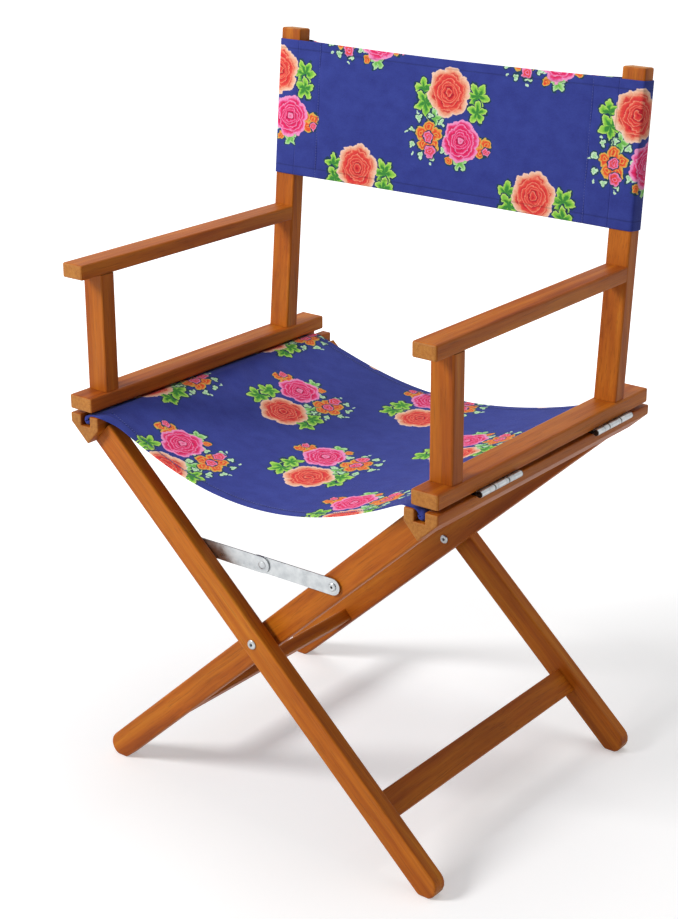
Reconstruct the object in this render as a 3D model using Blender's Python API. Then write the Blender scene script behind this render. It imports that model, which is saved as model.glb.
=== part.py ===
"""A folding wooden armchair with a canvas seat and back.

Two pairs of crossing legs carry a grooved seat rail on each side. An arm frame (base rail, front
post, armrest and raked back post) is hinged to the outer edge of each seat rail. The canvas seat
hangs between the rails on two dowels, and the canvas back slides over the two back posts.
X runs across the chair, Y to its back and Z up. The floor is at Z = 0.
"""
import math

import bmesh
import bpy
from mathutils import Matrix, Vector

FIT = 0.0003                # clearance between pieces that touch

# Arm frames
CHAIR_HEIGHT = 0.880        # floor to the tops of the back posts
ARM_SPREAD = 0.498          # between the middles of the two armrests
BASE_RAIL_WIDTH = 0.035
BASE_RAIL_THICK = 0.018
BASE_RAIL_LENGTH = 0.436
BASE_RAIL_FRONT = -0.222
BASE_RAIL_UNDERSIDE = 0.475
POST_WIDTH = 0.030
POST_DEPTH = 0.021
FRONT_POST_FACE = -0.193
BACK_POST_FACE = 0.1405     # front face of a back post where it stands on its rail
BACK_RAKE = math.radians(5.1)
ARMREST_WIDTH = 0.031
ARMREST_THICK = 0.018
ARMREST_TOP = 0.6544
ARMREST_FRONT = -0.225
TENON_LENGTH = 0.009
TENON_SHOULDER = 0.005

# Crossing legs
PIVOT_HEIGHT = 0.240
LEG_WIDTH = 0.033
LEG_DEPTH = 0.019
LEG_GAP = 0.006             # between an outer and an inner leg at the pivot
LEG_FRONT = -0.2104         # front face of the outer front leg
LEG_SPAN = 0.4289           # from there to the rear face of the outer rear leg
FOOT_FLAT = 0.014
STRETCHER_WIDTH = 0.034
STRETCHER_THICK = 0.0165
STRETCHER_LOW = 0.0035      # its upper face above the leg's middle line
STRETCHER_REACH = 0.221     # from the pivot down the leg to the board

# Seat rails
SEAT_RAIL_WIDTH = 0.044
LEG_TOP_INSET = 0.0056      # where the leg's middle line meets the rail, in from the lip
LEG_TOP_DROP = 0.0216       # and below the rail's top
RAIL_UNDERCUT = 0.0185      # the rail's lower face below the leg's middle line
GROOVE_WALL = 0.0135        # the lip between the groove and the seat
GROOVE_ROOM = 0.002         # width of the groove beyond the rolled canvas

# Hardware
LEAF_THICK = 0.0015
LEAF_GAP = 0.0009
LEAF_WIDTH = 0.0155
HINGE_LENGTH = 0.080
HINGE_MIDDLES = (-0.112, 0.127)
KNUCKLES = 5
KNUCKLE_RADIUS = 0.0037
KNUCKLE_GAP = 0.0002
PIN_RADIUS = 0.0018
BOLT_RADIUS = 0.0032
BOLT_HEAD_RADIUS = 0.0058
BOLT_HEAD_HEIGHT = 0.0018
SOCKET_FLAT = 0.0020        # half the width of the socket across its flats
SOCKET_DEPTH = 0.0014
WASHER_RADIUS = 0.009
NUT_FLAT = 0.0052
NUT_LENGTH = 0.0062
STAY_PIN_REACH = 0.137      # from the pivot up each leg to the stay's screws
STAY_WIDTH = 0.020
STAY_THICK = 0.0015
STAY_TAIL = 0.018           # how far the inner link runs past the knee
STAY_SCREW_RADIUS = 0.0025
SCREW_HEAD_RADIUS = 0.0050
SCREW_DEPTH = 0.012
RIVET_HEAD = 0.0009
PAN_HEAD = 0.0015

# Canvas
CLOTH = 0.0015
DOWEL_RADIUS = 0.0042
SEAT_FRONT = -0.209
SEAT_LENGTH = 0.405
SEAT_SAG_FRONT = 0.0625
SEAT_SAG_REAR = 0.0435
DOWEL_OVERHANG = 0.004
BACK_BOTTOM = 0.6956
BACK_TOP = 0.8656
SLEEVE_EASE = 0.0008        # looseness of a sleeve on its post

EASE = 0.0022               # rounding of the wooden edges
EASE_STEPS = 2

# Colour, roughness and metallic value of each finish
FINISHES = {
    "wood": ((0.47, 0.15, 0.035), 0.45, 0.0),
    "dowel": ((0.05, 0.06, 0.16), 0.85, 0.0),
    "steel": ((0.62, 0.61, 0.58), 0.35, 1.0),
    "canvas": ((0.045, 0.06, 0.27), 0.85, 0.0),
}

# Places worked out from the sizes above
arm_x = ARM_SPREAD / 2
rail_outer = arm_x + BASE_RAIL_WIDTH / 2
rail_inner = rail_outer - SEAT_RAIL_WIDTH
base_top = BASE_RAIL_UNDERSIDE + BASE_RAIL_THICK
leaf_room = 2 * LEAF_THICK + LEAF_GAP + 2 * FIT
rail_top = BASE_RAIL_UNDERSIDE - leaf_room
leg_top = Vector((rail_inner + LEG_TOP_INSET, rail_top - LEG_TOP_DROP - PIVOT_HEIGHT))
leg_angle = math.atan2(leg_top.y, leg_top.x)
leg_back = LEG_FRONT + LEG_SPAN
outer_front = (LEG_FRONT, LEG_FRONT + LEG_DEPTH)
inner_front = (outer_front[1] + LEG_GAP, outer_front[1] + LEG_GAP + LEG_DEPTH)
outer_rear = (leg_back - LEG_DEPTH, leg_back)
inner_rear = (outer_rear[0] - LEG_GAP - LEG_DEPTH, outer_rear[0] - LEG_GAP)
hinge_x = rail_outer + KNUCKLE_RADIUS + FIT
hinge_z = BASE_RAIL_UNDERSIDE - leaf_room / 2
roll_radius = DOWEL_RADIUS + FIT + CLOTH
groove = (rail_inner + GROOVE_WALL, rail_inner + GROOVE_WALL + 2 * roll_radius + GROOVE_ROOM)
dowel_place = Vector((sum(groove) / 2, rail_top - roll_radius - 0.001))
stay_x = STAY_PIN_REACH * math.cos(leg_angle)
stay_z = PIVOT_HEIGHT + STAY_PIN_REACH * math.sin(leg_angle)
rake = math.tan(BACK_RAKE)

# Where each body turns, and the body that carries it
BODIES = {
    "left_arm_body": (None, (-arm_x, 0, base_top)),
    "outer_frame_body": ("left_arm_body", (-hinge_x, 0, hinge_z)),
    "inner_frame_body": ("outer_frame_body", (0, 0, PIVOT_HEIGHT)),
    "right_arm_body": ("inner_frame_body", (hinge_x, 0, hinge_z)),
    "stay_outer_body": ("outer_frame_body", (-stay_x, 0, stay_z)),
    "stay_inner_body": ("stay_outer_body", (0, 0, stay_z)),
}


def clear_scene():
    for old in list(bpy.data.objects):
        bpy.data.objects.remove(old)


def make_material(name, colour, roughness, metallic):
    material = bpy.data.materials.new(name)
    material.use_nodes = True
    shader = material.node_tree.nodes["Principled BSDF"]
    shader.inputs["Base Color"].default_value = (*colour, 1)
    shader.inputs["Roughness"].default_value = roughness
    shader.inputs["Metallic"].default_value = metallic
    return material


def make_bodies():
    """One empty per moving body, on its joint's axis, each parented to the body that carries it."""
    empties = {}
    for name, (carrier, place) in BODIES.items():
        empty = bpy.data.objects.new(name, None)
        bpy.context.scene.collection.objects.link(empty)
        empty.location = place
        if carrier:
            empty.parent = empties[carrier]
            empty.location = Vector(place) - Vector(BODIES[carrier][1])
        empties[name] = empty
    return empties


def finish(name, bm, body, finish_name):
    """Turns a bmesh drawn in the chair's own coordinates into a piece of a body."""
    bmesh.ops.recalc_face_normals(bm, faces=bm.faces)
    bmesh.ops.translate(bm, vec=-Vector(BODIES[body][1]), verts=bm.verts)
    mesh = bpy.data.meshes.new(name)
    bm.to_mesh(mesh)
    bm.free()
    mesh.shade_smooth()
    mesh.set_sharp_from_angle(angle=math.radians(35))
    mesh.materials.append(make_material(name, *FINISHES[finish_name]))
    piece = bpy.data.objects.new(name, mesh)
    bpy.context.scene.collection.objects.link(piece)
    piece.parent = bodies[body]
    return piece


def cut(pieces, name, bm, body):
    """Cuts one hidden cutter out of each of the pieces."""
    cutter = finish(name, bm, body, "steel")
    cutter.hide_render = True
    cutter.display_type = "WIRE"
    for piece in pieces:
        bore = piece.modifiers.new(name, "BOOLEAN")
        bore.object = cutter


def point(axis, across, along):
    """A point from a place in the plane across an axis and a distance along that axis."""
    u, v = across
    return {"X": (along, u, v), "Y": (u, along, v), "Z": (u, v, along)}[axis]


def prism(outline, axis, start, end):
    """An outline drawn across an axis, carried along it."""
    bm = bmesh.new()
    near = [bm.verts.new(point(axis, spot, start)) for spot in outline]
    far = [bm.verts.new(point(axis, spot, end)) for spot in outline]
    bm.faces.new(near)
    bm.faces.new(far)
    for here in range(len(outline)):
        bm.faces.new((near[here - 1], near[here], far[here], far[here - 1]))
    bmesh.ops.recalc_face_normals(bm, faces=bm.faces)
    return bm


def block(x, y, z):
    return prism([(x[0], y[0]), (x[1], y[0]), (x[1], y[1]), (x[0], y[1])], "Z", *z)


def ease(bm, stays_sharp=None, width=EASE):
    """Rounds the outer edges, but not those whose middle the test picks out."""
    sharp = stays_sharp or (lambda spot: False)
    edges = [
        edge for edge in bm.edges
        if edge.is_convex and edge.calc_face_angle() > math.radians(30)
        and not sharp((edge.verts[0].co + edge.verts[1].co) / 2)
    ]
    bmesh.ops.bevel(
        bm, geom=edges, offset=width, segments=EASE_STEPS, profile=0.5, affect="EDGES"
    )
    return bm


def add_tenon(bm, faces_out):
    """Draws a stub tenon out of the end face that looks along a direction."""
    outward = Vector(faces_out)
    bmesh.ops.recalc_face_normals(bm, faces=bm.faces)
    end = max(bm.faces, key=lambda face: (round(face.normal.dot(outward), 2), face.calc_area()))
    bmesh.ops.inset_region(bm, faces=[end], thickness=TENON_SHOULDER, use_even_offset=True)
    bm.normal_update()
    away = end.normal * TENON_LENGTH
    tip = bmesh.ops.extrude_discrete_faces(bm, faces=[end])["faces"][0]
    bmesh.ops.translate(bm, vec=away, verts=tip.verts)
    return bm


def arc(middle, radius, first, last, steps):
    """Points on an arc, both ends included."""
    turns = [first + (last - first) * step / steps for step in range(steps + 1)]
    return [(middle[0] + radius * math.cos(t), middle[1] + radius * math.sin(t)) for t in turns]


def turned(profile, middle, closed=False, count=24):
    """Spins (radius, y, shape) points about a Y axis; a hex radius is half the width over flats."""
    bm = bmesh.new()
    rings = []
    for radius, along, shape in profile:
        ring = []
        for step in range(count if radius else 1):
            turn = 2 * math.pi * step / count
            off_flat = (turn + math.pi / 6) % (math.pi / 3) - math.pi / 6
            reach = radius / math.cos(off_flat) if shape == "hex" else radius
            spot = (middle[0] + reach * math.cos(turn), middle[1] + reach * math.sin(turn))
            ring.append(bm.verts.new(point("Y", spot, along)))
        rings.append(ring)
    pairs = list(zip(rings, rings[1:]))
    if closed:
        pairs.append((rings[-1], rings[0]))
    for one, two in pairs:
        for step in range(count):
            ends = [one[step % len(one)], one[(step + 1) % len(one)]]
            ends += [two[(step + 1) % len(two)], two[step % len(two)]]
            bm.faces.new(list(dict.fromkeys(ends)))
    return bm


def stacked(points, layers, axis):
    """One solid from layers of flat cells; a cell is a ring of point numbers, and the faces
    between two touching cells are left out."""
    shown = {}
    for start, end, cells in layers:
        for cell in cells:
            low = [(corner, start) for corner in cell]
            high = [(corner, end) for corner in cell]
            sides = [(low[i - 1], low[i], high[i], high[i - 1]) for i in range(len(cell))]
            for face in [tuple(low), tuple(high), *sides]:
                key = frozenset(face)
                if shown.pop(key, None) is None:
                    shown[key] = face
    bm = bmesh.new()
    made = {}
    for face in shown.values():
        for corner, level in face:
            if (corner, level) not in made:
                made[corner, level] = bm.verts.new(point(axis, points[corner], level))
        bm.faces.new([made[spot] for spot in face])
    return bm


def on_leg(side, along, across):
    """A place on a leg that rises to one side: along it from the pivot, across it to its top."""
    cosine, sine = math.cos(leg_angle), math.sin(leg_angle)
    x = side * (along * cosine - across * sine)
    return (x, PIVOT_HEIGHT + along * sine + across * cosine)


def leg_outline(side):
    """A straight leg, square where it meets its rail, with a round foot cut flat at the floor."""
    half = LEG_WIDTH / 2
    top = leg_top.length - FIT
    foot_height = math.sqrt(half ** 2 - (FOOT_FLAT / 2) ** 2)
    foot = (-(PIVOT_HEIGHT - foot_height) / math.tan(leg_angle), foot_height)
    across = leg_angle + math.pi / 2
    lowest = math.asin(foot_height / half)
    round_foot = arc(foot, half, across, math.pi + lowest, 6)
    round_foot += arc(foot, half, 2 * math.pi - lowest, across + math.pi, 3)
    if side < 0:
        round_foot = [(-x, z) for x, z in round_foot]
    return [on_leg(side, top, half)] + round_foot + [on_leg(side, top, -half)]


def make_leg(name, side, depth, body):
    top = leg_top.length - FIT

    def at_rail(spot):
        along = side * spot.x * math.cos(leg_angle)
        return along + (spot.z - PIVOT_HEIGHT) * math.sin(leg_angle) > top - 1e-5

    return finish(name, ease(prism(leg_outline(side), "Y", *depth), at_rail), body, "wood")


def stretcher_outline(side, grow):
    """The board's section, low on the legs that rise to one side."""
    near, far = -STRETCHER_REACH, -STRETCHER_REACH - STRETCHER_WIDTH
    high, low = STRETCHER_LOW, STRETCHER_LOW - STRETCHER_THICK
    corners = [(near + grow, high + grow), (near + grow, low - grow)]
    corners += [(far - grow, low - grow), (far - grow, high + grow)]
    return [on_leg(side, along, across) for along, across in corners]


def make_stretcher(name, side, front_leg, rear_leg, depths, body):
    """A board with a stub tenon in each of its two legs."""
    start, end = depths[0] + FIT, depths[1] - FIT
    board = prism(stretcher_outline(side, 0), "Y", start, end)
    for outward in ((0, -1, 0), (0, 1, 0)):
        add_tenon(board, outward)
    ease(board, lambda spot: not start + 1e-6 < spot.y < end - 1e-6)
    finish(name, board, body, "wood")
    reach = TENON_LENGTH + 2 * FIT
    mortise = prism(stretcher_outline(side, FIT - TENON_SHOULDER), "Y", start - reach, end + reach)
    cut((front_leg, rear_leg), name + "_mortise", mortise, body)


def make_seat_rail(name, side, body):
    """A rail whose underside meets the legs square, with a groove for the canvas in its top."""
    slope = math.tan(leg_angle)
    across_outer = RAIL_UNDERCUT / math.cos(leg_angle)
    outer_low = PIVOT_HEIGHT + rail_outer * slope - across_outer
    corner = on_leg(1, leg_top.length, -RAIL_UNDERCUT)
    inner_low = rail_top - LEG_TOP_DROP + LEG_TOP_INSET / slope
    floor = dowel_place.y - roll_radius - FIT
    outline = [
        (rail_inner, rail_top), (groove[0], rail_top), (groove[0], floor), (groove[1], floor),
        (groove[1], rail_top), (rail_outer, rail_top), (rail_outer, outer_low), corner,
        (rail_inner, inner_low),
    ]
    section = [(side * x, z) for x, z in outline]
    rail = ease(prism(section, "Y", BASE_RAIL_FRONT, leg_back), width=EASE * 0.7)
    finish(name, rail, body, "wood")


def make_leg_frame(kind, side, front_depth, rear_depth):
    """Front and rear legs that rise to one side, their stretcher and the seat rail on top."""
    body = kind + "_frame_body"
    front_leg = make_leg(kind + "_leg_front", side, front_depth, body)
    rear_leg = make_leg(kind + "_leg_rear", side, rear_depth, body)
    between = (front_depth[1], rear_depth[0])
    make_stretcher(kind + "_stretcher", side, front_leg, rear_leg, between, body)
    make_seat_rail(kind + "_seat_rail", side, body)
    middle = (side * dowel_place.x, dowel_place.y)
    ends = (SEAT_FRONT - DOWEL_OVERHANG, SEAT_FRONT + SEAT_LENGTH + DOWEL_OVERHANG)
    dowel = turned([(0, ends[0], ""), (DOWEL_RADIUS, ends[0], ""), (DOWEL_RADIUS, ends[1], ""),
                    (0, ends[1], "")], middle)
    finish(kind + "_seat_dowel", dowel, body, "dowel")
    return front_leg, rear_leg


def make_arm(name, side):
    """Base rail, front post, armrest and raked back post of one side."""
    body = name + "_body"
    middle = side * arm_x

    def span(width):
        return (middle - width / 2, middle + width / 2)

    rail_ends = (BASE_RAIL_FRONT, BASE_RAIL_FRONT + BASE_RAIL_LENGTH)
    rail_heights = (BASE_RAIL_UNDERSIDE, base_top)
    rail = finish(name + "_base_rail", ease(block(span(BASE_RAIL_WIDTH), rail_ends, rail_heights)),
                  body, "wood")

    rest_low = ARMREST_TOP - ARMREST_THICK
    post_front = (FRONT_POST_FACE, FRONT_POST_FACE + POST_DEPTH)
    post_heights = (base_top + FIT, rest_low - FIT)
    post = block(span(POST_WIDTH), post_front, post_heights)
    for outward in ((0, 0, -1), (0, 0, 1)):
        add_tenon(post, outward)
    ease(post, lambda spot: not post_heights[0] + 1e-6 < spot.z < post_heights[1] - 1e-6)
    finish(name + "_front_post", post, body, "wood")

    def post_face(height):
        return BACK_POST_FACE + (height - base_top) * rake

    rest_rear = [post_face(height) - FIT for height in (rest_low, ARMREST_TOP)]
    rest_side = [(ARMREST_FRONT, rest_low), (rest_rear[0], rest_low),
                 (rest_rear[1], ARMREST_TOP), (ARMREST_FRONT, ARMREST_TOP)]
    armrest = ease(prism(rest_side, "X", *span(ARMREST_WIDTH)),
                   lambda spot: spot.y > rest_rear[0] - 1e-6)
    rest = finish(name + "_armrest", armrest, body, "wood")

    foot = base_top + FIT
    depth = POST_DEPTH / math.cos(BACK_RAKE)
    tip = CHAIR_HEIGHT - POST_DEPTH * math.sin(BACK_RAKE)
    back_side = [(post_face(foot), foot), (post_face(foot) + depth, foot),
                 (post_face(tip) + depth, tip), (post_face(CHAIR_HEIGHT), CHAIR_HEIGHT)]
    back_post = prism(back_side, "X", *span(POST_WIDTH))
    add_tenon(back_post, (0, 0, -1))
    ease(back_post, lambda spot: spot.z < foot + 1e-6)
    finish(name + "_back_post", back_post, body, "wood")

    inset = TENON_SHOULDER - FIT
    reach = TENON_LENGTH + 2 * FIT
    across = span(POST_WIDTH - 2 * inset)
    front_hole = block(across, (post_front[0] + inset, post_front[1] - inset),
                       (post_heights[0] - reach, post_heights[1] + reach))
    cut((rail, rest), name + "_front_mortise", front_hole, body)
    back_hole = block(across, (post_face(foot) + inset, post_face(foot) + depth - inset),
                      (foot - reach, foot + reach))
    cut((rail,), name + "_back_mortise", back_hole, body)


def make_leaf(name, side, y_middle, flip, body):
    """One leaf of a butt hinge: a plate and its share of the knuckles, bored for the pin."""
    low, high = LEAF_GAP / 2, LEAF_GAP / 2 + LEAF_THICK
    first = math.pi - math.asin(low / KNUCKLE_RADIUS)
    second = math.pi - math.asin(high / KNUCKLE_RADIUS)
    around = arc((0, 0), KNUCKLE_RADIUS, second, first - 2 * math.pi, 14)
    inner = arc((0, 0), PIN_RADIUS + KNUCKLE_GAP / 2, second, first - 2 * math.pi, 14)
    neck = -KNUCKLE_RADIUS - KNUCKLE_GAP
    plate = [(neck - LEAF_WIDTH, low), (neck, low), (neck, high), (neck - LEAF_WIDTH, high)]
    spots = [(side * x, flip * z) for x, z in around + inner + plate]
    spots = [(side * hinge_x + x, hinge_z + z) for x, z in spots]
    count = len(around)
    ring = [(i, i + 1, count + i + 1, count + i) for i in range(count - 1)]
    ring.append((count - 1, 0, count, 2 * count - 1))
    corner = 2 * count
    flat = (corner, corner + 1, corner + 2, corner + 3)
    knuckle = [(corner + 1, corner + 2, 0, count - 1), *ring]
    length = HINGE_LENGTH / KNUCKLES
    start = y_middle - HINGE_LENGTH / 2
    layers = []
    for number in range(KNUCKLES):
        near, far = start + number * length, start + (number + 1) * length
        if number % 2 == (1 if flip > 0 else 0):
            trimmed = (near + KNUCKLE_GAP, far - KNUCKLE_GAP)
            layers.append((near, trimmed[0], [flat]))
            layers.append((*trimmed, [flat, *knuckle]))
            layers.append((trimmed[1], far, [flat]))
        else:
            layers.append((near, far, [flat]))
    finish(name, stacked(spots, layers, "Y"), body, "steel")


def make_hinge(arm, frame, place, side, y_middle):
    """A butt hinge between an arm's base rail and its seat rail; the pin stays with the arm."""
    arm_body, frame_body = arm + "_body", frame + "_frame_body"
    make_leaf(arm + "_hinge_leaf_" + place, side, y_middle, 1, arm_body)
    make_leaf(frame + "_hinge_leaf_" + place, side, y_middle, -1, frame_body)
    ends = (y_middle - HINGE_LENGTH / 2, y_middle + HINGE_LENGTH / 2)
    radius = PIN_RADIUS - KNUCKLE_GAP / 2
    pin = turned([(0, ends[0], ""), (radius, ends[0], ""), (radius, ends[1], ""),
                  (0, ends[1], "")], (side * hinge_x, hinge_z), count=12)
    finish(arm + "_hinge_pin_" + place, pin, arm_body, "steel")


def make_pivot(place, first_leg, second_leg):
    """A bolt through two legs: socket head, shank, the washer between the legs and a cap nut."""
    face, far_face = first_leg[0] - FIT, second_leg[1] + FIT
    middle = (0, PIVOT_HEIGHT)
    head = face - BOLT_HEAD_HEIGHT
    end = far_face + NUT_LENGTH * 0.6
    bolt = [(0, head + SOCKET_DEPTH, ""), (SOCKET_FLAT, head + SOCKET_DEPTH, "hex"),
            (SOCKET_FLAT, head, "hex"), (BOLT_HEAD_RADIUS * 0.85, head, ""),
            (BOLT_HEAD_RADIUS, head + BOLT_HEAD_HEIGHT * 0.5, ""), (BOLT_HEAD_RADIUS, face, ""),
            (BOLT_RADIUS, face, ""), (BOLT_RADIUS, end, ""), (0, end, "")]
    finish("pivot_bolt_" + place, turned(bolt, middle), "outer_frame_body", "steel")

    gap = (first_leg[1] + FIT, second_leg[0] - FIT)
    bore = BOLT_RADIUS + FIT
    washer = [(bore, gap[0], ""), (WASHER_RADIUS, gap[0], ""), (WASHER_RADIUS, gap[1], ""),
              (bore, gap[1], "")]
    finish("pivot_washer_" + place, turned(washer, middle, closed=True), "outer_frame_body", "steel")

    hole = end + FIT
    tip = far_face + NUT_LENGTH
    nut = [(0, hole, ""), (bore, hole, ""), (bore, far_face, ""), (NUT_FLAT, far_face, "hex"),
           (NUT_FLAT, far_face + NUT_LENGTH * 0.5, "hex"), (NUT_FLAT * 0.9, hole, ""),
           (NUT_FLAT * 0.5, tip - 0.0005, ""), (0, tip, "")]
    finish("pivot_nut_" + place, turned(nut, middle), "outer_frame_body", "steel")


def make_link(name, pins, ends, front, body):
    """A flat bar with a hole at each pin and a round end about each of the two end places."""
    half, hole = STAY_WIDTH / 2, STAY_SCREW_RADIUS + FIT
    quarter = math.pi / 2
    rim = arc((ends[0], stay_z), half, quarter, 3 * quarter, 10)
    rim += arc((ends[1], stay_z), half, -quarter, quarter, 10)
    holes = [arc((x, stay_z), hole, 0, 15 / 16 * 2 * math.pi, 15) for x in pins]
    bm = bmesh.new()
    edges = []
    for loop in [rim, *holes]:
        corners = [bm.verts.new(point("Y", spot, front)) for spot in loop]
        edges += [bm.edges.new((corners[i - 1], corners[i])) for i in range(len(corners))]
    bmesh.ops.triangle_fill(bm, use_beauty=True, edges=edges)
    grown = bmesh.ops.extrude_face_region(bm, geom=bm.faces[:])["geom"]
    moved = [item for item in grown if isinstance(item, bmesh.types.BMVert)]
    bmesh.ops.translate(bm, vec=(0, STAY_THICK, 0), verts=moved)
    finish(name, bm, body, "steel")


def make_stay(outer_leg):
    """The folding stay between the front legs: two links joined by a rivet at the knee."""
    back_of_leg = outer_front[1]
    outer_link = back_of_leg + RIVET_HEAD + FIT
    inner_link = outer_link + STAY_THICK + FIT
    inner_back = inner_link + STAY_THICK
    tail_end = STAY_WIDTH / 2 - STAY_TAIL
    make_link("stay_outer_link", (-stay_x, 0), (-stay_x, 0), outer_link, "stay_outer_body")
    make_link("stay_inner_link", (0, stay_x), (tail_end, stay_x), inner_link, "stay_inner_body")

    shank = STAY_SCREW_RADIUS
    head = SCREW_HEAD_RADIUS
    front, back = outer_link - FIT, inner_back + FIT
    rivet = [(0, front - RIVET_HEAD + FIT, ""), (head * 0.7, front - RIVET_HEAD + FIT, ""),
             (head, front, ""), (shank, front, ""), (shank, back, ""), (head, back, ""),
             (head * 0.7, back + RIVET_HEAD - FIT, ""), (0, back + RIVET_HEAD - FIT, "")]
    finish("stay_rivet", turned(rivet, (0, stay_z)), "stay_outer_body", "steel")

    seat = outer_link + STAY_THICK + FIT
    tip = back_of_leg - SCREW_DEPTH
    outer = [(0, seat + PAN_HEAD, ""), (head * 0.8, seat + PAN_HEAD, ""), (head, seat + 0.0006, ""),
             (head, seat, ""), (shank, seat, ""), (shank, tip + 0.003, ""), (0, tip, "")]
    screw_place = (-stay_x, stay_z)
    finish("stay_outer_screw", turned(outer, screw_place), "outer_frame_body", "steel")
    bore = shank + FIT
    hole = [(0, tip - FIT, ""), (bore, tip - FIT, ""), (bore, back_of_leg + 0.002, ""),
            (0, back_of_leg + 0.002, "")]
    cut((outer_leg,), "stay_screw_bore", turned(hole, screw_place), "outer_frame_body")

    seat = inner_link - FIT
    stop = inner_front[0] - FIT
    inner = [(0, seat - PAN_HEAD, ""), (head * 0.8, seat - PAN_HEAD, ""), (head, seat - 0.0006, ""),
             (head, seat, ""), (shank, seat, ""), (shank, stop, ""), (0, stop, "")]
    finish("stay_inner_screw", turned(inner, (stay_x, stay_z)), "stay_inner_body", "steel")


def make_seat():
    """The seat canvas: a strip that sags between the rails and rolls round a dowel at each end."""
    wrap = DOWEL_RADIUS + FIT + CLOTH / 2
    lip_height = rail_top + FIT + CLOTH / 2
    lip = rail_inner

    def strip(sag):
        """The strip's middle line, from the left roll to the right one."""
        hang = [lip * step / 10 for step in range(11)]
        half = [(x, lip_height - sag * (1 - (x / lip) ** 2)) for x in hang]
        half.append((groove[0] - EASE * 0.7, lip_height))
        half += arc(dowel_place, wrap, math.pi * 0.62, -math.pi * 1.05, 16)
        return [(-x, z) for x, z in half[:0:-1]] + half

    front, rear = strip(SEAT_SAG_FRONT), strip(SEAT_SAG_REAR)
    bm = bmesh.new()
    corners = []
    for line, along in ((front, SEAT_FRONT), (rear, SEAT_FRONT + SEAT_LENGTH)):
        for index, spot in enumerate(line):
            before, after = line[max(index - 1, 0)], line[min(index + 1, len(line) - 1)]
            run = (Vector(after) - Vector(before)).normalized()
            off = Vector((-run.y, run.x)) * CLOTH / 2
            pair = [Vector(spot) + off, Vector(spot) - off]
            corners.append([bm.verts.new(point("Y", place, along)) for place in pair])
    count = len(front)
    for index in range(count - 1):
        (a, b), (c, d) = corners[index], corners[index + 1]
        (e, f), (g, h) = corners[count + index], corners[count + index + 1]
        for face in ((a, b, d, c), (e, g, h, f), (a, c, g, e), (b, f, h, d)):
            bm.faces.new(face)
    for index in (0, count - 1):
        (a, b), (e, f) = corners[index], corners[count + index]
        bm.faces.new((a, e, f, b))
    finish("seat_canvas", bm, "outer_frame_body", "canvas")


def make_back():
    """The back canvas: a flat panel with a sleeve at each side that the posts run through."""
    half = POST_WIDTH / 2 + SLEEVE_EASE
    inner, outer = half, half + CLOTH
    front = -SLEEVE_EASE
    rear = POST_DEPTH + SLEEVE_EASE
    spots, cells = [], []
    for side in (-1, 1):
        start = len(spots)
        ring = [(-outer, front - CLOTH), (-inner, front), (outer, front - CLOTH), (inner, front),
                (outer, rear + CLOTH), (inner, rear), (-outer, rear + CLOTH), (-inner, rear),
                (-outer, front)]
        spots += [(side * (arm_x + x), depth) for x, depth in ring]
        for cell in ((0, 2, 3, 1, 8), (2, 4, 5, 3), (4, 6, 7, 5), (6, 8, 1, 7)):
            cells.append(tuple(start + corner for corner in cell))
    cells.append((0, 8, 17, 9))
    height = (BACK_TOP - BACK_BOTTOM) / math.cos(BACK_RAKE)
    panel = stacked(spots, [(0, height, cells)], "Z")
    bmesh.ops.rotate(panel, verts=panel.verts, matrix=Matrix.Rotation(-BACK_RAKE, 3, "X"))
    post_face = BACK_POST_FACE + (BACK_BOTTOM - base_top) * rake
    bmesh.ops.translate(panel, vec=(0, post_face, BACK_BOTTOM), verts=panel.verts)
    finish("back_canvas", panel, "left_arm_body", "canvas")


clear_scene()
bodies = make_bodies()
outer_legs = make_leg_frame("outer", -1, outer_front, outer_rear)
inner_legs = make_leg_frame("inner", 1, inner_front, inner_rear)
bore_ends = (LEG_FRONT - 0.002, leg_back + 0.002)
bore = arc((0, PIVOT_HEIGHT), BOLT_RADIUS + FIT, 0, 23 / 12 * math.pi, 23)
cut(outer_legs + inner_legs, "pivot_bore", prism(bore, "Y", *bore_ends), "outer_frame_body")
make_pivot("front", outer_front, inner_front)
make_pivot("rear", inner_rear, outer_rear)
make_stay(outer_legs[0])
for arm_name, frame_name, arm_side in (("left_arm", "outer", -1), ("right_arm", "inner", 1)):
    make_arm(arm_name, arm_side)
    for hinge_place, hinge_middle in zip(("front", "rear"), HINGE_MIDDLES):
        make_hinge(arm_name, frame_name, hinge_place, arm_side, hinge_middle)
make_seat()
make_back()
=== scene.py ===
"""The looks of a folding wooden armchair with a canvas seat and back.

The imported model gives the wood, the hinges, the pivots and the stay, which only get materials
here. The canvas seat and back are made here as printed, hemmed and stitched cloth.
X runs across the chair, Y to its back and Z up, in metres.
"""
import math

import bpy
import numpy as np
from mathutils import Matrix, Vector


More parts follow.
